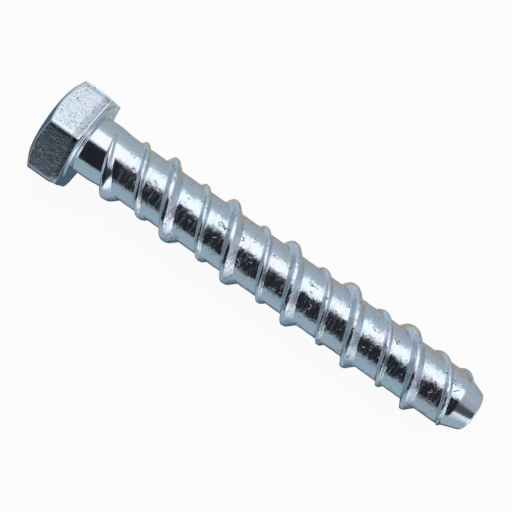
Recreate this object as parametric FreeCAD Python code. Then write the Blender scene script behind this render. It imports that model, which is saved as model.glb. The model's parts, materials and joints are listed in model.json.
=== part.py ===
import FreeCAD, Part
import math
import os

# Concrete screw with a hexagon head: one piece of zinc-plated steel.
# It is modelled about its own axis, Z, with the bearing face of the head at Z = 0,
# the tip towards +Z and a corner of the hexagon on +X. It is laid down at the end.
# Sizes are in millimetres and degrees.

# Head
across_flats = 13.0
head_height = 5.1
head_offset = 0.35              # the hexagon was trimmed this far off the shank's axis
top_face_diameter = 11.45
top_chamfer_angle = 30.0
corner_cut_width = 1.35         # slope that takes off the corners on the bearing side
corner_cut_angle = 50.0
flat_edge_round = 0.35          # rolled edge of each flat on the bearing side
washer_face_diameter = 12.9
washer_face_height = 0.12
washer_face_bevel = 0.35
under_head_bevel = 0.3

# Shank
length_under_head = 60.0
shank_diameter = 8.12
plain_length = 2.05
shank_taper_length = 2.5
root_diameter = 7.65

# Tip
point_length = 2.8
point_end_diameter = 5.4
point_round = 0.55

# Thread: a high ridge and a low ridge, both right handed, in one lead
lead = 9.35
high_crest_diameter = 9.85
high_land_width = 1.15
high_flank_angle = 32.0         # from the plane across the axis
high_hollow_height = 0.25       # hollow at the foot of each flank
high_hollow_angle = 62.0
high_position = 3.33            # height at which the ridge's middle crosses the +X side
high_start = 0.9                # height at which it rises out of the shank
high_run_in = 4.1
low_crest_diameter = 8.67
low_land_width = 0.35
low_flank_angle = 38.0
low_position = 8.43
low_start = 3.0
low_run_in = 2.0
thread_run_out = 2.8
thread_to_tip = 1.8             # from where both ridges have faded to the tip

# Construction values, which leave no mark on the finished surface
overlap = 0.5
ridge_depth = 0.7               # how far a ridge reaches into the core
ridge_sink = 0.3                # how far below the surface its ends lie
end_width_share = 0.25          # width of a ridge at its ends against its full width
seam_angle = 90.0               # side on which the round faces of the shank close
sections_per_turn = 6
sections_per_run_in = 5
sections_per_run_out = 4

flats = 6
down_angle = 150.0              # direction, about the axis, of the flat that the screw lies on
turn = 360.0
y_axis = FreeCAD.Vector(0, 1, 0)
z_axis = FreeCAD.Vector(0, 0, 1)
origin = FreeCAD.Vector(0, 0, 0)


def tan(angle):
    return math.tan(math.radians(angle))


def section_point(radius, height):
    return FreeCAD.Vector(radius, 0, height)


def revolve(edges):
    """Solid of revolution about the screw's axis from the edges of a closed section."""
    face = Part.Face(Part.Wire(edges))
    return face.revolve(origin, z_axis, turn)


def lines(points):
    """Straight edges through section points given as (radius, height)."""
    corners = [section_point(*p) for p in points]
    return [Part.makeLine(a, b) for a, b in zip(corners, corners[1:])]


def arc(start, middle, end):
    """Arc through section points; as a spline it gives a revolved face of fewer facets."""
    return Part.Arc(section_point(*start), section_point(*middle), section_point(*end)).toBSpline().toShape()


def hexagon(bottom, top):
    """Hexagonal prism between two heights, offset sideways as the head was trimmed."""
    corner_radius = across_flats / 2 / math.cos(math.pi / flats)
    corners = []
    for i in range(flats + 1):
        angle = 2 * math.pi * i / flats
        x = corner_radius * math.cos(angle)
        y = head_offset + corner_radius * math.sin(angle)
        corners.append(FreeCAD.Vector(x, y, bottom))
    return Part.Face(Part.makePolygon(corners)).extrude(FreeCAD.Vector(0, 0, top - bottom))


def rolled_hexagon():
    """The head's prism down to the washer face, with the bearing-side edge of each flat rolled."""
    bearing_side = -washer_face_height
    prism = hexagon(-head_height, bearing_side)
    lower_edges = [e for e in prism.Edges if e.BoundBox.ZMin > bearing_side - overlap / 2]
    return prism.makeFillet(flat_edge_round, lower_edges)


def head_envelope():
    """Round form that cuts the top chamfer and takes the corners off on the bearing side."""
    top_radius = top_face_diameter / 2
    inner = washer_face_diameter / 2
    outer = inner + corner_cut_width
    bearing_side = -washer_face_height
    chamfer_depth = (outer - top_radius) * tan(top_chamfer_angle)
    cut_depth = corner_cut_width * tan(corner_cut_angle)
    return revolve(lines([(0, bearing_side), (0, -head_height), (top_radius, -head_height),
                          (outer, -head_height + chamfer_depth), (outer, bearing_side - cut_depth),
                          (inner, bearing_side), (0, bearing_side)]))


def washer_face():
    """Raised bearing ring with a bevelled rim, flush with the flats where it would overhang them."""
    rim = washer_face_diameter / 2
    seat = rim - washer_face_bevel
    bottom = -washer_face_height - overlap
    ring = revolve(lines([(0, bottom), (seat, bottom), (rim, -washer_face_height), (seat, 0), (0, 0), (0, bottom)]))
    return ring.common(hexagon(-head_height, overlap))


def head():
    return rolled_hexagon().common(head_envelope()).fuse(washer_face())


def shank():
    """Plain shank, its taper to the root of the thread, the root and the tapered point."""
    plain = shank_diameter / 2
    root = root_diameter / 2
    end = point_end_diameter / 2
    tip = length_under_head
    foot = plain + under_head_bevel
    point_start = tip - point_length
    slope = (root - end) / point_length
    side = math.hypot(1, slope)
    # The round at the end touches the cone and the end face.
    round_centre = end - point_round * (side - slope)
    cone_touch = (round_centre + point_round / side, tip - point_round * (1 - slope / side))
    half_turn = (math.pi / 2 + math.atan(slope)) / 2
    round_middle = (round_centre + point_round * math.sin(half_turn),
                    tip - point_round * (1 - math.cos(half_turn)))
    taper_end = plain_length + shank_taper_length
    edges = lines([(round_centre, tip), (0, tip), (0, -overlap), (foot, -overlap), (foot, 0),
                   (plain, under_head_bevel), (plain, plain_length), (root, taper_end),
                   (root, point_start), cone_touch])
    edges.append(arc(cone_touch, round_middle, (round_centre, tip)))
    body = revolve(edges)
    body.rotate(origin, z_axis, seam_angle)
    return body


def core_radius(height):
    """Radius of the shank under the thread at a height."""
    plain = shank_diameter / 2
    root = root_diameter / 2
    into_taper = (height - plain_length) / shank_taper_length
    into_point = (height - (length_under_head - point_length)) / point_length
    taper = (plain - root) * min(max(into_taper, 0), 1)
    return plain - taper - (root - point_end_diameter / 2) * max(into_point, 0)


def ridge_span(ridge):
    """Heights at which a ridge starts, is first and last at its full height, and ends."""
    end = length_under_head - thread_to_tip
    return ridge["start"], ridge["start"] + ridge["run_in"], end - thread_run_out, end


def ridge_growth(ridge, height):
    """Share of a ridge's form at a height: 0 where it is sunk in the shank, 1 where it is fully formed."""
    start, first_full, last_full, end = ridge_span(ridge)
    return min((height - start) / (first_full - start), (end - height) / (end - last_full), 1)


def crest_radius(ridge, height):
    sunk = core_radius(height) - ridge_sink
    return sunk + (ridge["crest_diameter"] / 2 - sunk) * ridge_growth(ridge, height)


def ridge_section(ridge, height):
    """Outline of a ridge where its middle is at a height, in the plane through the axis there."""
    growth = ridge_growth(ridge, height)
    crest = crest_radius(ridge, height)
    surface = core_radius(height)
    knee = surface - 2 * ridge_sink + (ridge["hollow_height"] + 2 * ridge_sink) * growth
    buried = surface - ridge_depth
    width = end_width_share + (1 - end_width_share) * growth
    half = ridge["land_width"] / 2 * width
    side = [(crest, half)]
    if ridge["hollow_height"] > 0:
        half += (crest - knee) * tan(ridge["flank_angle"]) * width
        side.append((knee, half))
    half += (side[-1][0] - buried) * tan(ridge["foot_angle"]) * width
    side.append((buried, half))
    other_side = [(radius, -rise) for radius, rise in reversed(side)]
    outline = Part.Wire(lines(side + other_side + side[:1]))
    outline.rotate(origin, z_axis, turn * (height - ridge["position"]) / lead)
    outline.translate(FreeCAD.Vector(0, 0, height))
    return outline


def spread(start, end, count):
    """Evenly spaced heights from a start up to, but not at, an end."""
    return [start + (end - start) * i / count for i in range(count)]


def helical_ridge(ridge):
    """Solid ridge lofted through its outlines up the helix, fading into the shank at both ends."""
    start, first_full, last_full, end = ridge_span(ridge)
    full_sections = math.ceil((last_full - first_full) / lead * sections_per_turn)
    heights = spread(start, first_full, sections_per_run_in)
    heights += spread(first_full, last_full, full_sections)
    heights += spread(last_full, end, sections_per_run_out) + [end]
    return Part.makeLoft([ridge_section(ridge, height) for height in heights], True, False)


high_ridge = {
    "crest_diameter": high_crest_diameter,
    "land_width": high_land_width,
    "flank_angle": high_flank_angle,
    "hollow_height": high_hollow_height,
    "foot_angle": high_hollow_angle,
    "position": high_position,
    "start": high_start,
    "run_in": high_run_in,
}
low_ridge = {
    "crest_diameter": low_crest_diameter,
    "land_width": low_land_width,
    "flank_angle": low_flank_angle,
    "hollow_height": 0,
    "foot_angle": low_flank_angle,
    "position": low_position,
    "start": low_start,
    "run_in": low_run_in,
}


def screw():
    return shank().fuse([head(), helical_ridge(high_ridge), helical_ridge(low_ridge)])


def rest_tilt():
    """Angle at which the screw lies: on the rolled edge of one flat and on the last crest it meets."""
    flat_distance = across_flats / 2 + head_offset * math.sin(math.radians(down_angle))
    flat_edge = -washer_face_height - flat_edge_round
    slopes = []
    for ridge in (high_ridge, low_ridge):
        start, first_full, last_full, end = ridge_span(ridge)
        crossing = ridge["position"] + lead * down_angle / turn
        crossing += lead * math.ceil((start - crossing) / lead)
        while crossing < end:
            reach = crossing + ridge["land_width"] / 2 - flat_edge
            slopes.append((flat_distance - crest_radius(ridge, crossing)) / reach)
            crossing += lead
    return math.degrees(math.atan(min(slopes)))


def lie_down(body):
    """Turn the screw onto a flat of its head, tip towards +X, standing on Z = 0 and centred on the origin."""
    body.rotate(origin, z_axis, -down_angle)
    body.rotate(origin, y_axis, turn / 4 + rest_tilt())
    box = body.optimalBoundingBox(False, False)
    body.translate(FreeCAD.Vector(-box.Center.x, -box.Center.y, -box.ZMin))
    return body


if __name__ == "__main__":
    os.makedirs("parts", exist_ok=True)
    lie_down(screw().Solids[0]).exportStep("parts/screw.step")
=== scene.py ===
import json
import math
import bpy
import numpy as np
from mathutils import Matrix, Vector, noise


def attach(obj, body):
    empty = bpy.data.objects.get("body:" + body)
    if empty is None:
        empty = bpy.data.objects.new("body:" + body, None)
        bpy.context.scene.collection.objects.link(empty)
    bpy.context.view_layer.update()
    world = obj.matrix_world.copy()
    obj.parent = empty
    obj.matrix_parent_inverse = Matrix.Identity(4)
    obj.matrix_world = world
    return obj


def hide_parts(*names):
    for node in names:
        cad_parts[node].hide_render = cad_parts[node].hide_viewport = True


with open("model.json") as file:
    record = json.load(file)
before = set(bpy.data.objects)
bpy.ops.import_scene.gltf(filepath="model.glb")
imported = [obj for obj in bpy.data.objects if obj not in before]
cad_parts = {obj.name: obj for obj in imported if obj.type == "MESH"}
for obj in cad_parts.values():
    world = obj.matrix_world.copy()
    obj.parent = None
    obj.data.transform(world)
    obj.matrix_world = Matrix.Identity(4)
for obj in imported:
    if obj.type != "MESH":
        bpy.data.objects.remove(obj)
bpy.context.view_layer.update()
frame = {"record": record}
print("frame loaded")

millimetre = 0.001

# the screw's own axes, in mm: Z along the shank from the washer face to the tip,
# X through a corner of the head
placing = {
    "seat": frame["record"]["mounts"][0],
    "downAngle": 150.0,         # side of the hexagon that the screw lies on
    "washerFace": 0.2,          # how far the washer face stands beyond the seat
}


def screwMatrix():
    along = Vector(placing["seat"]["axis"]).normalized()
    down = (Vector((0, 0, -1)) - along * -along.z).normalized()
    side = along.cross(down)
    a = math.radians(placing["downAngle"])
    acrossX = down * math.cos(a) - side * math.sin(a)
    acrossY = down * math.sin(a) + side * math.cos(a)
    rows = Matrix((acrossX, acrossY, along)).transposed().to_4x4()
    start = Vector(placing["seat"]["pos_m"]) + along * placing["washerFace"] * millimetre
    return Matrix.Translation(start) @ rows @ Matrix.Scale(millimetre, 4)


toRow = screwMatrix()

shank = {
    "length": 59.79,
    "plainRadius": 4.06,
    "plainLength": 1.85,
    "taperLength": 2.5,
    "rootRadius": 3.86,
    "footBevel": 0.3,
    "pointLength": 3.0,
    "pointEndRadius": 2.77,
    "pointRound": 0.4,
    "pointSoftness": 0.35,      # length over which the root turns into the point
    "roundSteps": 8,
    "endRings": (0.9, 0.7, 0.45, 0.2),  # rings on the end face, in shares of its radius
    "columns": 160,
    "rowsPerLead": 86,
    "firstRow": 0.36,           # just above the bevel at the head
    "lastRow": 59.35,           # just below the round at the tip
    "rowGap": 0.04,
}

# the two ridges of the thread; flank angles are from the plane across the shank, "position" is
# where the ridge's middle crosses the X side, and "rows" crowds the mesh on the flanks: how many
# more rows, how far from the middle and over what width
thread = {
    "lead": 9.35,
    "toTip": 1.8,               # from where both ridges have faded to the tip
    "endWidth": 0.4,            # width of a ridge's land where it starts and ends
    "leastHeight": 0.02,
}
highRidge = {
    "crest": 4.95, "land": 0.46, "landSlope": 0.1, "headFlank": 25.0, "tipFlank": 46.0,
    "position": 3.07, "start": 0.7, "runIn": 4.1, "startCurve": 2.0, "startShift": 0.6,
    "runOut": 3.4, "hollow": 0.12, "edge": 0.09, "rows": (1.1, 0.85, 0.45),
}
lowRidge = {
    "crest": 4.39, "land": 0.3, "landSlope": 0.1, "headFlank": 32.0, "tipFlank": 42.0,
    "position": 8.20, "start": 2.8, "runIn": 2.0, "startCurve": 1.0, "startShift": 0.2,
    "runOut": 2.4, "hollow": 0.16, "edge": 0.07, "rows": (0.5, 0.35, 0.4),
}


def smooth(x):
    x = np.clip(x, 0, 1)
    return x * x * (3 - 2 * x)


def softMin(a, b, k):
    h = np.clip(0.5 + (b - a) / (2 * k), 0, 1)
    return b + (a - b) * h - k * h * (1 - h)


def coreRadius(z):
    taper = smooth((z - shank["plainLength"]) / shank["taperLength"])
    slope = (shank["rootRadius"] - shank["pointEndRadius"]) / shank["pointLength"]
    point = z - shank["length"] + shank["pointLength"]
    drop = -softMin(-point * slope, 0 * point, shank["pointSoftness"] * slope / 2)
    return shank["plainRadius"] + (shank["rootRadius"] - shank["plainRadius"]) * taper - np.maximum(drop, 0)


def ridgeHeight(ridge, off, z, core):
    # off: distance along the shank from the middle of the ridge, negative towards the head
    end = shank["length"] - thread["toTip"]
    start = np.clip((z - ridge["start"]) / ridge["runIn"], 0, 1)
    grow = np.clip(np.minimum(start ** ridge["startCurve"], (end - z) / ridge["runOut"]), 0, 1)
    off = off - ridge["startShift"] * (1 - start)
    full = (ridge["crest"] - core) * grow
    half = ridge["land"] / 2 * (thread["endWidth"] + (1 - thread["endWidth"]) * grow)
    headSide = full - (-off - half) / math.tan(math.radians(ridge["headFlank"]))
    tipSide = full - (off - half) / math.tan(math.radians(ridge["tipFlank"]))
    land = full - (off + half) * ridge["landSlope"]
    h = softMin(softMin(headSide, tipSide, ridge["edge"]), land, ridge["edge"])
    h = -softMin(-h, 0 * h, ridge["hollow"])
    return np.maximum(h - thread["leastHeight"], 0) * (grow > 0)


def ridgeOffset(ridge, angle, z):
    lead = thread["lead"]
    middle = ridge["position"] + lead * angle / (2 * math.pi)
    return (z - middle + lead / 2) % lead - lead / 2


# what rolling and handling did to the root and the crests, in mm
wear = {
    "waviness": 0.045,                  # deepest waves
    "waves": (0.55, 0.6, 2.1, 3),       # waves per mm, hardness, gain and layers
    "wavesShare": 0.6,
    "ripples": (0.9, 1.7),              # per mm, across and along
    "ripplesShare": 0.5,
    "ripplesStart": 40,
    "crestShare": 0.5,                  # share of the waves that a crest goes without
    "nicks": 1.3,                       # per mm
    "nicksStart": (7, 3, 11),
    "nickLevel": 0.3,
    "nickDepth": 0.22,
    "smoothLength": 0.8,                # beyond the plain length the surface is still smooth,
    "growLength": 4.0,                  # and then gets rougher over this length
    "pointReach": 0.4,
    "fadeLength": 1.2,
    "headShare": 0.75,                  # how crumpled the head's end is against the tip's
}


def crumple(z):
    # smooth on the plain shank and the point, worst towards the tip
    grow = smooth((z - shank["plainLength"] - wear["smoothLength"]) / wear["growLength"])
    fade = smooth((shank["length"] - shank["pointLength"] + wear["pointReach"] - z) / wear["fadeLength"])
    return grow * fade * (wear["headShare"] + (1 - wear["headShare"]) * z / shank["length"])


def dent(point, onCrest):
    size, hardness, gain, layers = wear["waves"]
    across, along = wear["ripples"]
    ripple = Vector((point.x * across, point.y * across, point.z * along + wear["ripplesStart"]))
    wave = noise.fractal(point * size, hardness, gain, layers) * wear["wavesShare"]
    wave += noise.noise(ripple) * wear["ripplesShare"]
    nick = max(noise.noise(point * wear["nicks"] + Vector(wear["nicksStart"])) - wear["nickLevel"], 0)
    return wear["waviness"] * wave * (1 - wear["crestShare"] * onCrest) - nick * wear["nickDepth"] * onCrest


def shankRadius(angle, z):
    core = coreRadius(z)
    r = core.copy()
    onCrest = np.zeros(len(z))
    for ridge in (highRidge, lowRidge):
        h = ridgeHeight(ridge, ridgeOffset(ridge, angle, z), z, core)
        r = np.maximum(r, core + h)
        onCrest = np.maximum(onCrest, h / (ridge["crest"] - shank["rootRadius"]))
    rough = crumple(z)
    c, s = math.cos(angle), math.sin(angle)
    for i, level in enumerate(rough):
        if level > 0:
            r[i] += level * dent(Vector((r[i] * c, r[i] * s, z[i])), onCrest[i])
    return r, rough


def rowShares():
    # rows of the mesh within one lead, in shares of it from the high ridge's middle
    lead, n = thread["lead"], shank["rowsPerLead"]
    fine = np.linspace(0, 1, 4001)
    density = 1
    for ridge in (highRidge, lowRidge):
        more, away, width = ridge["rows"]
        off = (fine * lead - (ridge["position"] - highRidge["position"]) + lead / 2) % lead - lead / 2
        density = density + more * np.exp(-((np.abs(off) - away) / width) ** 2)
    total = np.concatenate([[0], np.cumsum((density[1:] + density[:-1]) / 2)])
    return np.interp(np.arange(n) / n * total[-1], total, fine)


# points, faces and what the material needs to know about each point
verts, faces = [], []
marks = {"crumple": [], "flat": [], "strip": []}


def addPoints(points, crumpled=0.0, flat=0.0, strip=0.0):
    base = len(verts)
    verts.extend(points)
    count = len(verts) - base
    for name, value in (("crumple", crumpled), ("flat", flat), ("strip", strip)):
        marks[name].extend(np.broadcast_to(value, (count,)).tolist())
    return base


def shankMesh():
    # columns follow the helix, so that each row keeps its place on the ridge
    columns, n, lead = shank["columns"], shank["rowsPerLead"], thread["lead"]
    low, high, gap = shank["firstRow"], shank["lastRow"], shank["rowGap"]
    shares = rowShares()
    turns = int(math.ceil(shank["length"] / lead)) + 2
    rows = np.concatenate([(t + shares) * lead for t in range(-2, turns)]) + highRidge["position"]
    index, lower, upper = [], [], []
    for j in range(columns):
        z = rows + lead * j / columns
        inside = (z > low + gap) & (z < high - gap)
        zs = np.concatenate([[low], z[inside], [high]])
        angle = 2 * math.pi * j / columns
        r, rough = shankRadius(angle, zs)
        base = addPoints(zip(r * math.cos(angle), r * math.sin(angle), zs), rough)
        first, count = np.argmax(inside), int(inside.sum())
        ids = np.full(len(rows), base)
        ids[inside] = base + 1 + np.arange(count)
        ids[first + count:] = base + 1 + count
        lower.append(base)
        upper.append(base + 1 + count)
        index.append(ids)
    # after one turn the first column comes again, one lead further on
    index.append(np.concatenate([index[0][n:], np.full(n, upper[0])]))
    for a, b in zip(index, index[1:]):
        for i in range(len(rows) - 1):
            loop = []
            for v in (a[i], b[i], b[i + 1], a[i + 1]):
                if v not in loop:
                    loop.append(int(v))
            if len(loop) > 2:
                faces.append(loop)
    return lower, upper


def bridge(ringA, ringB):
    n = len(ringA)
    for j in range(n):
        k = (j + 1) % n
        faces.append([ringA[j], ringA[k], ringB[k], ringB[j]])


def addRing(radii, heights, angles, centreY=0.0, **mark):
    n = len(angles)
    radii = np.broadcast_to(radii, (n,))
    heights = np.broadcast_to(heights, (n,))
    base = addPoints(zip(radii * np.cos(angles), centreY + radii * np.sin(angles), heights), **mark)
    return list(range(base, base + n))


def closeCap(ring, height, centreY, flip, **mark):
    c = addPoints([(0.0, centreY, height)], **mark)
    n = len(ring)
    for j in range(n):
        k = (j + 1) % n
        faces.append([ring[k], ring[j], c] if flip else [ring[j], ring[k], c])


plainAngles = np.arange(shank["columns"]) * 2 * math.pi / shank["columns"]


def tipMesh(ring):
    tip, r, steps = shank["length"], shank["pointRound"], shank["roundSteps"]
    slope = (shank["rootRadius"] - shank["pointEndRadius"]) / shank["pointLength"]
    centre = shank["pointEndRadius"] - r * (math.hypot(1, slope) - slope)
    start = math.atan(slope)
    profile = []
    for i in range(steps + 1):
        a = start + (math.pi / 2 - start) * i / steps
        profile.append((centre + r * math.cos(a), tip - r + r * math.sin(a)))
    profile += [(centre * share, tip) for share in shank["endRings"]]
    for radius, height in profile:
        new = addRing(radius, height, plainAngles)
        bridge(ring, new)
        ring = new
    closeCap(ring, tip, 0.0, False)


head = {
    "acrossFlats": 13.0,
    "height": 5.29,
    "offset": 0.35,             # the hexagon sits this far off the shank's axis
    "cornerRound": 0.13,
    "cornerColumns": (0.0, 0.2, 0.4, 0.62, 0.9, 1.6),   # degrees from a corner
    "topRadius": 5.8,
    "topSlope": 30.0,
    "topEdge": 0.1,             # soft edge between the flats and the chamfer
    "topRim": (0.12, 0.4),      # rings just inside the top face
    "topDish": 0.12,
    "dishStart": 0.95,          # shares of the top face's radius
    "dishWidth": 0.5,
    "leastChamfer": 0.02,
    "cutRadius": 7.38,          # from here a slope takes off the corners on the bearing side
    "cutSlope": 45.0,
    "lowEdge": 0.12,
    "stripAtX": math.pi,        # from this angle on, for half a turn, the strip is the higher one
    "stripHeights": (0.6, 0.95),    # trimmed strip along the bearing edge of the flats
    "stripDrop": 0.17,          # how far it leans in
    "washerRadius": 5.75,
    "washerHeight": 0.25,
    "washerBevel": 0.25,
    "washerBulge": 0.35,
    "washerGap": 0.06,
}
sixth = math.pi / 3             # one side of the hexagon

# rings of the mesh on each stretch of the head's outline, in shares of the stretch
headRings = {
    "foot": (0.8, 0.6, 0.4, 0.2, 0.0),
    "seat": (0.05, 0.3, 0.6, 0.9),
    "washerEdge": (0.0, 0.12, 0.3, 0.5, 0.7, 0.88, 1.0),
    "bearing": (0.0, 0.4, 0.9, 1.0),
    "rolledEdge": (0.25, 0.5, 0.75, 1.0),
    "strip": (0.15, 0.5, 0.85, 0.97),
    "flats": (0.0, 0.03, 0.12, 0.3, 0.5, 0.7, 0.88, 0.97, 1.0),
    "chamfer": (0.15, 0.4, 0.7, 0.93),
    "dish": (0.85, 0.65, 0.45, 0.25, 0.1),
}


def cornerAngles():
    # columns crowd round each corner, so that it is rounded and the flats stay flat
    near = np.radians(head["cornerColumns"])
    count = shank["columns"] // 6
    spare = shank["columns"] - 6 * count
    angles = []
    for i in range(6):
        n = count + (1 if i < spare else 0) - (2 * len(near) - 1)
        flat = np.linspace(near[-1], sixth - near[-1], n + 2)[1:-1]
        angles.extend(i * sixth + a for a in np.concatenate([near, flat, sixth - near[:0:-1]]))
    return np.array(angles)


def hexReach(angles):
    # distance from the hexagon's centre to its side, with rounded corners
    apothem, r = head["acrossFlats"] / 2, head["cornerRound"]
    fromFlat = (angles % sixth) - sixth / 2
    flat = apothem / np.cos(fromFlat)
    fromCorner = sixth / 2 - np.abs(fromFlat)
    centre = (apothem - r) / math.cos(sixth / 2)
    inside = r * r - (centre * np.sin(fromCorner)) ** 2
    turn = centre * np.cos(fromCorner) + np.sqrt(np.maximum(inside, 0))
    return np.where((inside > 0) & (turn < flat), turn, flat)


headAngles = cornerAngles()
hexSide = hexReach(headAngles)


def aroundShank(radius):
    # a circle about the shank's axis, measured from the hexagon's centre
    s = head["offset"] * np.sin(headAngles)
    return -s + np.sqrt(radius * radius - head["offset"] ** 2 + s * s)


def headStep(ring, reach, z, **mark):
    new = addRing(reach, z, headAngles, head["offset"], **mark)
    bridge(new, ring)
    return new


def washerMesh(ring):
    bevel = shank["footBevel"]
    for t in headRings["foot"]:
        curve = 1 - math.sqrt(1 - (1 - t) ** 2)
        new = addRing(shank["plainRadius"] + bevel * curve, bevel * t, plainAngles)
        bridge(new, ring)
        ring = new
    foot = shank["plainRadius"] + bevel
    seat = head["washerRadius"] - head["washerBevel"]
    for t in headRings["seat"]:
        ring = headStep(ring, aroundShank(foot + (seat - foot) * t), 0.0)
    bulge = head["washerBulge"]
    for t in headRings["washerEdge"]:
        a = t * math.pi / 2
        across = (1 - bulge) * t + bulge * math.sin(a)
        down = (1 - bulge) * t + bulge * (1 - math.cos(a))
        ring = headStep(ring, aroundShank(seat + head["washerBevel"] * across), -head["washerHeight"] * down)
    return ring


def bearingMesh(ring):
    # bearing side of the hexagon, its sloped corners and the strip along its edge
    bearing, edge, drop = -head["washerHeight"], head["lowEdge"], head["stripDrop"]
    start = aroundShank(head["washerRadius"] + head["washerGap"])
    cut = aroundShank(head["cutRadius"])
    inner = np.minimum(hexSide, cut) - edge
    lowest = bearing - np.maximum(hexSide - cut, 0) * math.tan(math.radians(head["cutSlope"])) - edge
    for t in headRings["bearing"]:
        ring = headStep(ring, start + (inner - start) * t, bearing)
    for t in headRings["rolledEdge"]:
        a = t * math.pi / 2
        reach = inner + (hexSide - drop - inner) * math.sin(a)
        ring = headStep(ring, reach, bearing + (lowest - bearing) * (1 - math.cos(a)), strip=0.4)
    higher = np.mod(headAngles - head["stripAtX"], 2 * math.pi) < math.pi
    strip = np.where(higher, head["stripHeights"][1], head["stripHeights"][0])
    for t in headRings["strip"]:
        ring = headStep(ring, hexSide - drop * (1 - t), lowest - strip * t, strip=1.0 - t * 0.5, flat=0.6)
    return ring, lowest - strip


def topMesh(ring, stripTop):
    # flats, rolled over to the chamfer, and the top face with its shallow dish
    top, soft, radius = -head["height"], head["topEdge"], head["topRadius"]
    slope = math.tan(math.radians(head["topSlope"]))
    highest = top + np.maximum(hexSide - radius, head["leastChamfer"]) * slope
    for t in headRings["flats"]:
        ring = headStep(ring, hexSide, stripTop + (highest + soft - stripTop) * t, flat=1.0)
    ring = headStep(ring, hexSide - soft * 0.28, highest + soft * 0.32, flat=0.7)
    ring = headStep(ring, hexSide - soft * 0.8, highest - soft * 0.6 * slope, flat=0.5)
    for t in headRings["chamfer"]:
        ring = headStep(ring, hexSide + (radius - hexSide) * t, highest + (top - highest) * t, flat=0.4)
    outer, inner = head["topRim"]
    ring = headStep(ring, radius - outer, top, flat=0.5)
    ring = headStep(ring, radius - inner, top, flat=0.6)
    for t in headRings["dish"]:
        dish = head["topDish"] * smooth((head["dishStart"] - t) / head["dishWidth"])
        ring = headStep(ring, (radius - inner) * t, top + dish, flat=0.7)
    closeCap(ring, top + head["topDish"], head["offset"], True, flat=0.7)


def makeScrew(name):
    lowerRing, upperRing = shankMesh()
    tipMesh(upperRing)
    ring = washerMesh(lowerRing)
    ring, stripTop = bearingMesh(ring)
    topMesh(ring, stripTop)
    mesh = bpy.data.meshes.new(name)
    mesh.from_pydata([tuple(v) for v in verts], [], faces)
    for mark, values in marks.items():
        mesh.attributes.new(mark, "FLOAT", "POINT").data.foreach_set("value", values)
    mesh.transform(toRow)
    mesh.update()
    mesh.polygons.foreach_set("use_smooth", [True] * len(mesh.polygons))
    obj = bpy.data.objects.new(name, mesh)
    bpy.context.scene.collection.objects.link(obj)
    return obj


screw = makeScrew("plated_screw")
print("screw mesh:", len(verts), "points", len(faces), "faces")


# patterns are given as size per mm, layers, roughness and distortion; heights and depths in mm;
# "Places" and "Edge" are the levels between which a pattern comes in
zinc = {
    "blue": (0.66, 0.77, 0.85, 1),
    "lilac": (0.70, 0.74, 0.85, 1),
    "straw": (0.80, 0.76, 0.66, 1),
    # dark colour for the mottle, the pits and cracks, and painted shade on the strip of the flats
    "dirtAndPaintedShade": (0.06, 0.065, 0.07, 1),
    "even": (1000, 1000, 1000),
    "round": (2100, 650, 650),      # drawn out round the shank
    "drawn": (500, 1100, 1100),     # drawn out along it
    "folds": (1.1, 5.0, 0.62, 0.9),     # rolling folds on the thread's root
    "foldHeight": 0.105,
    "grain": (5.0, 4.0, 0.6),
    "grainHeight": 0.010,
    "scale": (2.2, 5.0, 0.7),       # scale marks on the flats of the head
    "scaleHeight": 0.030,
    "specks": 1.7,
    "speckEdge": (0.26, 0.12),
    "speckPlaces": (0.48, 0.6),
    "cracks": 0.9,
    "crackEdge": (0.04, 0.0),
    "crackPatches": (0.9, 2.0),
    "crackPlaces": (0.58, 0.64),
    "pitDepth": 0.05,
    "clouds": (0.35, 2.0),
    "lilacPlaces": (0.42, 0.62),
    "patches": (0.9, 3.0),
    "strawPlaces": (0.58, 0.72),
    "strawShare": 0.5,
    "mottle": (3.2, 4.0, 0.7),
    "mottleEdge": (0.5, 0.68),
    "mottlePlaces": (0.36, 0.56),
    "roughness": 0.07,
    "cloudRoughness": 0.08,
    "scaleRoughness": 0.16,
    "pitRoughness": 0.3,
    # how much darker the pits and cracks are
    "speckDarkening": 0.35,
    "crackDarkening": 0.9,
    "mottleDirt": 0.55,
    # painted shade: how much the strip along the bearing edge of the flats is darkened
    "stripPaintedShade": 0.8,
}


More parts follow.
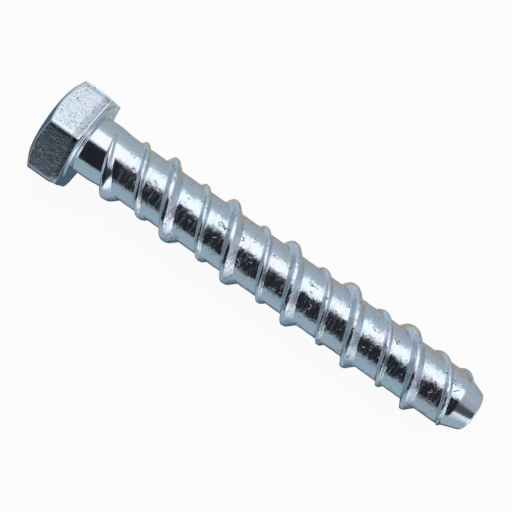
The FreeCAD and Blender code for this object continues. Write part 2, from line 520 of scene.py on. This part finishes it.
def zincMaterial():
    m = bpy.data.materials.new("blue_white_zinc")
    m.use_nodes = True
    nodes, links = m.node_tree.nodes, m.node_tree.links
    plating = nodes["Principled BSDF"]
    plating.inputs["Metallic"].default_value = 1.0
    where = nodes.new("ShaderNodeTexCoord").outputs["Object"]

    def join(value, socket):
        if isinstance(value, (int, float, tuple)):
            socket.default_value = value
        else:
            links.new(value, socket)

    def calc(operation, first, second):
        n = nodes.new("ShaderNodeMath")
        n.operation = operation
        join(first, n.inputs[0])
        join(second, n.inputs[1])
        return n.outputs[0]

    def times(first, second):
        return calc("MULTIPLY", first, second)

    def plus(first, second):
        return calc("ADD", first, second)

    def between(source, levels):
        n = nodes.new("ShaderNodeMapRange")
        n.interpolation_type = "SMOOTHSTEP"
        n.inputs["From Min"].default_value, n.inputs["From Max"].default_value = levels
        links.new(source, n.inputs["Value"])
        return n.outputs["Result"]

    def blend(share, first, second):
        n = nodes.new("ShaderNodeMix")
        n.data_type = "RGBA"
        join(share, n.inputs["Factor"])
        join(first, n.inputs[6])
        join(second, n.inputs[7])
        return n.outputs[2]

    def mark(name):
        n = nodes.new("ShaderNodeAttribute")
        n.attribute_name = name
        return n.outputs["Fac"]

    def stretched(scale):
        n = nodes.new("ShaderNodeMapping")
        n.inputs["Scale"].default_value = scale
        links.new(where, n.inputs["Vector"])
        return n.outputs[0]

    def pattern(vector, values):
        n = nodes.new("ShaderNodeTexNoise")
        for name, value in zip(("Scale", "Detail", "Roughness", "Distortion"), values):
            n.inputs[name].default_value = value
        links.new(vector, n.inputs["Vector"])
        return n.outputs["Fac"]

    def cells(vector, scale, feature):
        n = nodes.new("ShaderNodeTexVoronoi")
        n.feature = feature
        n.inputs["Scale"].default_value = scale
        links.new(vector, n.inputs["Vector"])
        return n.outputs["Distance"]

    even, roundShank, drawn = stretched(zinc["even"]), stretched(zinc["round"]), stretched(zinc["drawn"])
    crumpled, flat, strip = mark("crumple"), mark("flat"), mark("strip")
    clouds = pattern(even, zinc["clouds"])
    patches = pattern(even, zinc["patches"])
    scale = times(pattern(drawn, zinc["scale"]), flat)
    specks = times(between(cells(even, zinc["specks"], "F1"), zinc["speckEdge"]),
                   between(patches, zinc["speckPlaces"]))
    specks = times(specks, flat)
    cracks = times(between(cells(drawn, zinc["cracks"], "DISTANCE_TO_EDGE"), zinc["crackEdge"]),
                   between(pattern(even, zinc["crackPatches"]), zinc["crackPlaces"]))
    cracks = times(cracks, crumpled)
    pits = plus(specks, cracks)

    height = times(times(pattern(roundShank, zinc["folds"]), crumpled), zinc["foldHeight"])
    height = plus(height, times(pattern(even, zinc["grain"]), zinc["grainHeight"]))
    height = plus(height, times(scale, zinc["scaleHeight"]))
    height = calc("SUBTRACT", height, times(pits, zinc["pitDepth"]))
    bump = nodes.new("ShaderNodeBump")
    bump.inputs["Strength"].default_value = 1.0
    bump.inputs["Distance"].default_value = millimetre
    links.new(height, bump.inputs["Height"])
    links.new(bump.outputs["Normal"], plating.inputs["Normal"])

    rough = plus(times(clouds, zinc["cloudRoughness"]), zinc["roughness"])
    rough = plus(rough, times(scale, zinc["scaleRoughness"]))
    rough = plus(rough, times(pits, zinc["pitRoughness"]))
    links.new(rough, plating.inputs["Roughness"])

    mottle = times(between(pattern(even, zinc["mottle"]), zinc["mottleEdge"]),
                   between(patches, zinc["mottlePlaces"]))
    # darker in the pits and cracks
    dirtAndPaintedShadeShare = plus(times(specks, zinc["speckDarkening"]), times(cracks, zinc["crackDarkening"]))
    dirtAndPaintedShadeShare = plus(dirtAndPaintedShadeShare, times(times(flat, mottle), zinc["mottleDirt"]))
    # painted shade: the leaning strip along the bearing edge of the flats is darkened in colour
    dirtAndPaintedShadeShare = plus(dirtAndPaintedShadeShare, times(times(flat, strip), zinc["stripPaintedShade"]))
    colour = blend(between(clouds, zinc["lilacPlaces"]), zinc["blue"], zinc["lilac"])
    colour = blend(times(between(patches, zinc["strawPlaces"]), zinc["strawShare"]), colour, zinc["straw"])
    # the dark colour comes in for mottled dirt, pits and cracks, and painted shade on the strip
    colour = blend(dirtAndPaintedShadeShare, colour, zinc["dirtAndPaintedShade"])
    links.new(colour, plating.inputs["Base Color"])
    return m


screw.data.materials.append(zincMaterial())
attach(screw, "root")
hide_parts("screw")
print("zinc plating done")


# where the camera stands, in pixels of the photograph turned level: along the shank from the
# washer face, above its axis and in front of it; "unit" is a pixel at the screw in mm
camera = {
    "unit": 0.1286,
    "along": 181.185,
    "above": 3.451,
    "distance": 1007.6,
    "yaw": 0.017,
    "roll": 0.006,
    "cornerTurn": -1.072,       # degrees that the head's corner is turned off the camera
    "level": 35.6,              # slope of the screw in the picture, in degrees
    "pictureWidth": 512,
    "sensor": 36.0,
    "clipStart": 0.005,
}


def makeCamera():
    # axes of the level picture in the screw's own axes: along the shank, up, towards the camera
    turn = math.radians(camera["cornerTurn"])
    along = Vector((0, 0, 1))
    up = Vector((math.sin(turn), -math.cos(turn), 0))
    toCamera = Vector((math.cos(turn), math.sin(turn), 0))
    fit = Matrix((along, up, toCamera)).transposed()
    yaw = Matrix.Rotation(camera["yaw"], 3, "Y")
    turned = (Matrix.Rotation(camera["roll"], 3, "Z") @ yaw).transposed()
    c, s = math.cos(math.radians(camera["level"])), math.sin(math.radians(camera["level"]))
    right = turned @ Vector((c, s, 0))
    upward = turned @ Vector((-s, c, 0))
    back = turned @ Vector((0, 0, 1))
    rotation = toRow.to_3x3().normalized() @ fit @ Matrix((right, upward, back)).transposed()
    place = fit @ Vector((camera["along"], camera["above"], camera["distance"])) * camera["unit"]
    data = bpy.data.cameras.new("camera")
    data.sensor_fit = "HORIZONTAL"
    data.sensor_width = camera["sensor"]
    data.lens = camera["sensor"] * camera["distance"] / camera["pictureWidth"]
    data.clip_start = camera["clipStart"]
    obj = bpy.data.objects.new("camera", data)
    obj.matrix_world = Matrix.Translation(toRow @ place) @ rotation.to_4x4()
    bpy.context.scene.collection.objects.link(obj)
    bpy.context.scene.camera = obj


makeCamera()
print("camera set")


floor = {"half": 2.0, "paper": (0.8, 0.8, 0.8, 1), "whiteShare": 0.94}


def makeFloor():
    h = floor["half"]
    mesh = bpy.data.meshes.new("floor")
    mesh.from_pydata([(-h, -h, 0), (h, -h, 0), (h, h, 0), (-h, h, 0)], [], [(0, 1, 2, 3)])
    obj = bpy.data.objects.new("floor", mesh)
    bpy.context.scene.collection.objects.link(obj)
    m = bpy.data.materials.new("white_paper")
    m.use_nodes = True
    nodes, links = m.node_tree.nodes, m.node_tree.links
    paper = nodes["Principled BSDF"]
    paper.inputs["Base Color"].default_value = floor["paper"]
    paper.inputs["Roughness"].default_value = 1.0
    paper.inputs["Specular IOR Level"].default_value = 0.0
    white = nodes.new("ShaderNodeEmission")
    seen = nodes.new("ShaderNodeLightPath")
    share = nodes.new("ShaderNodeMath")
    share.operation = "MULTIPLY"
    share.inputs[1].default_value = floor["whiteShare"]
    mix = nodes.new("ShaderNodeMixShader")
    links.new(seen.outputs["Is Camera Ray"], share.inputs[0])
    links.new(share.outputs[0], mix.inputs["Fac"])
    links.new(paper.outputs[0], mix.inputs[1])
    links.new(white.outputs[0], mix.inputs[2])
    links.new(mix.outputs[0], nodes["Material Output"].inputs["Surface"])
    obj.data.materials.append(m)
    obj.visible_glossy = False      # the lower half of the studio stands for the paper


makeFloor()
print("floor laid")


# colours of the studio by angle about X: 0 is the horizon behind the screw, 90 straight above,
# 180 the horizon in front of it, and below the horizon the angles are negative
softBox = (1.3, 1.3, 1.3)
blackCard = (0.02, 0.02, 0.025)
# painted shadow: the paper under the shank in the screw's own shadow, as the metal sees it
paintedPaperShadow = (0.08, 0.13, 0.16)
lowFront = [
    (-180, blackCard), (-172, blackCard), (-170, (0.38, 0.47, 0.51)), (-105, (0.40, 0.49, 0.53)),
    (-90, paintedPaperShadow), (-62, paintedPaperShadow), (-58, (0.55, 0.61, 0.68)), (-50, (0.50, 0.54, 0.60)),
]
highFront = [(107, softBox), (110, blackCard), (180, blackCard)]
studio = {
    "middle": lowFront + [
        (-44, (0.50, 0.33, 0.10)), (-34, (0.50, 0.36, 0.12)), (-28, (0.38, 0.43, 0.46)),
        (35, (0.46, 0.52, 0.55)), (56, (0.56, 0.62, 0.66)), (61, softBox),
    ] + highFront,
    "tipFlank": lowFront + [
        (-44, (0.38, 0.43, 0.46)), (-24, (0.38, 0.43, 0.46)), (-20, (0.46, 0.27, 0.05)),
        (4, (0.46, 0.30, 0.08)), (10, (0.42, 0.48, 0.51)), (40, (0.42, 0.49, 0.52)),
        (58, (0.5, 0.56, 0.6)), (62, softBox),
    ] + highFront,
    "tipSide": [
        (-180, softBox), (-128, softBox), (-120, (0.45, 0.54, 0.60)), (-60, (0.42, 0.48, 0.53)),
        (-46, (0.40, 0.44, 0.48)), (-38, (0.30, 0.29, 0.24)), (-26, (0.30, 0.30, 0.27)),
        (-18, (0.40, 0.44, 0.48)), (60, (0.42, 0.46, 0.50)), (105, (0.38, 0.43, 0.48)),
        (122, (0.08, 0.09, 0.10)), (160, (0.08, 0.09, 0.10)), (168, (0.34, 0.40, 0.44)),
        (172, softBox), (180, softBox),
    ],
    "headSide": [
        # painted shadow: dark teal below for the shaded paper under the screw, as the head's bearing side
        # sees it
        (-180, (0.4, 0.45, 0.5)), (-100, (0.08, 0.14, 0.18)), (-52, (0.08, 0.14, 0.18)),
        (-36, (0.60, 0.72, 0.76)), (-5, (0.5, 0.55, 0.58)), (180, (0.5, 0.54, 0.56)),
    ],
    "tipEnd": (*softBox, 1),
    # how far along X each part takes over from the one before it
    "flankEdge": (0.28, 0.33),
    "flankEnd": (0.49, 0.54),
    "tipEdge": (0.70, 0.80),
    "tipEndEdge": (0.962, 0.978),
    "headEdge": (-0.45, -0.6),
}


def makeStudio():
    world = bpy.data.worlds.new("studio")
    bpy.context.scene.world = world
    world.use_nodes = True
    nodes, links = world.node_tree.nodes, world.node_tree.links
    background = nodes["Background"]
    split = nodes.new("ShaderNodeSeparateXYZ")
    links.new(nodes.new("ShaderNodeTexCoord").outputs["Generated"], split.inputs[0])
    angle = nodes.new("ShaderNodeMath")
    angle.operation = "ARCTAN2"
    links.new(split.outputs["Z"], angle.inputs[0])
    links.new(split.outputs["Y"], angle.inputs[1])
    share = nodes.new("ShaderNodeMapRange")
    share.inputs["From Min"].default_value = -math.pi
    share.inputs["From Max"].default_value = math.pi
    links.new(angle.outputs[0], share.inputs["Value"])

    def sector(name):
        ramp = nodes.new("ShaderNodeValToRGB")
        ramp.label = name
        stops = ramp.color_ramp.elements
        for i, (degrees, colour) in enumerate(studio[name]):
            stop = stops[i] if i < 2 else stops.new(1.0)
            stop.position = (degrees + 180) / 360
            stop.color = (*colour, 1)
        links.new(share.outputs[0], ramp.inputs["Fac"])
        return ramp.outputs["Color"]

    def blend(colour, other, levels):
        edge = nodes.new("ShaderNodeMapRange")
        edge.interpolation_type = "SMOOTHSTEP"
        edge.inputs["From Min"].default_value, edge.inputs["From Max"].default_value = levels
        links.new(split.outputs["X"], edge.inputs["Value"])
        mix = nodes.new("ShaderNodeMix")
        mix.data_type = "RGBA"
        links.new(edge.outputs["Result"], mix.inputs["Factor"])
        links.new(colour, mix.inputs[6])
        if isinstance(other, tuple):
            mix.inputs[7].default_value = other
        else:
            links.new(other, mix.inputs[7])
        return mix.outputs[2]

    middle = sector("middle")
    colour = blend(middle, sector("tipFlank"), studio["flankEdge"])
    colour = blend(colour, middle, studio["flankEnd"])
    colour = blend(colour, sector("tipSide"), studio["tipEdge"])
    colour = blend(colour, studio["tipEnd"], studio["tipEndEdge"])
    colour = blend(colour, sector("headSide"), studio["headEdge"])
    links.new(colour, background.inputs["Color"])
    background.inputs["Strength"].default_value = 1.0
    # the camera itself sees plain white
    white = nodes.new("ShaderNodeBackground")
    white.inputs["Color"].default_value = (1, 1, 1, 1)
    seen = nodes.new("ShaderNodeLightPath")
    mix = nodes.new("ShaderNodeMixShader")
    links.new(seen.outputs["Is Camera Ray"], mix.inputs["Fac"])
    links.new(background.outputs[0], mix.inputs[1])
    links.new(white.outputs[0], mix.inputs[2])
    links.new(mix.outputs[0], nodes["World Output"].inputs["Surface"])


makeStudio()
bpy.context.scene.view_settings.view_transform = "Standard"
print("studio lit")
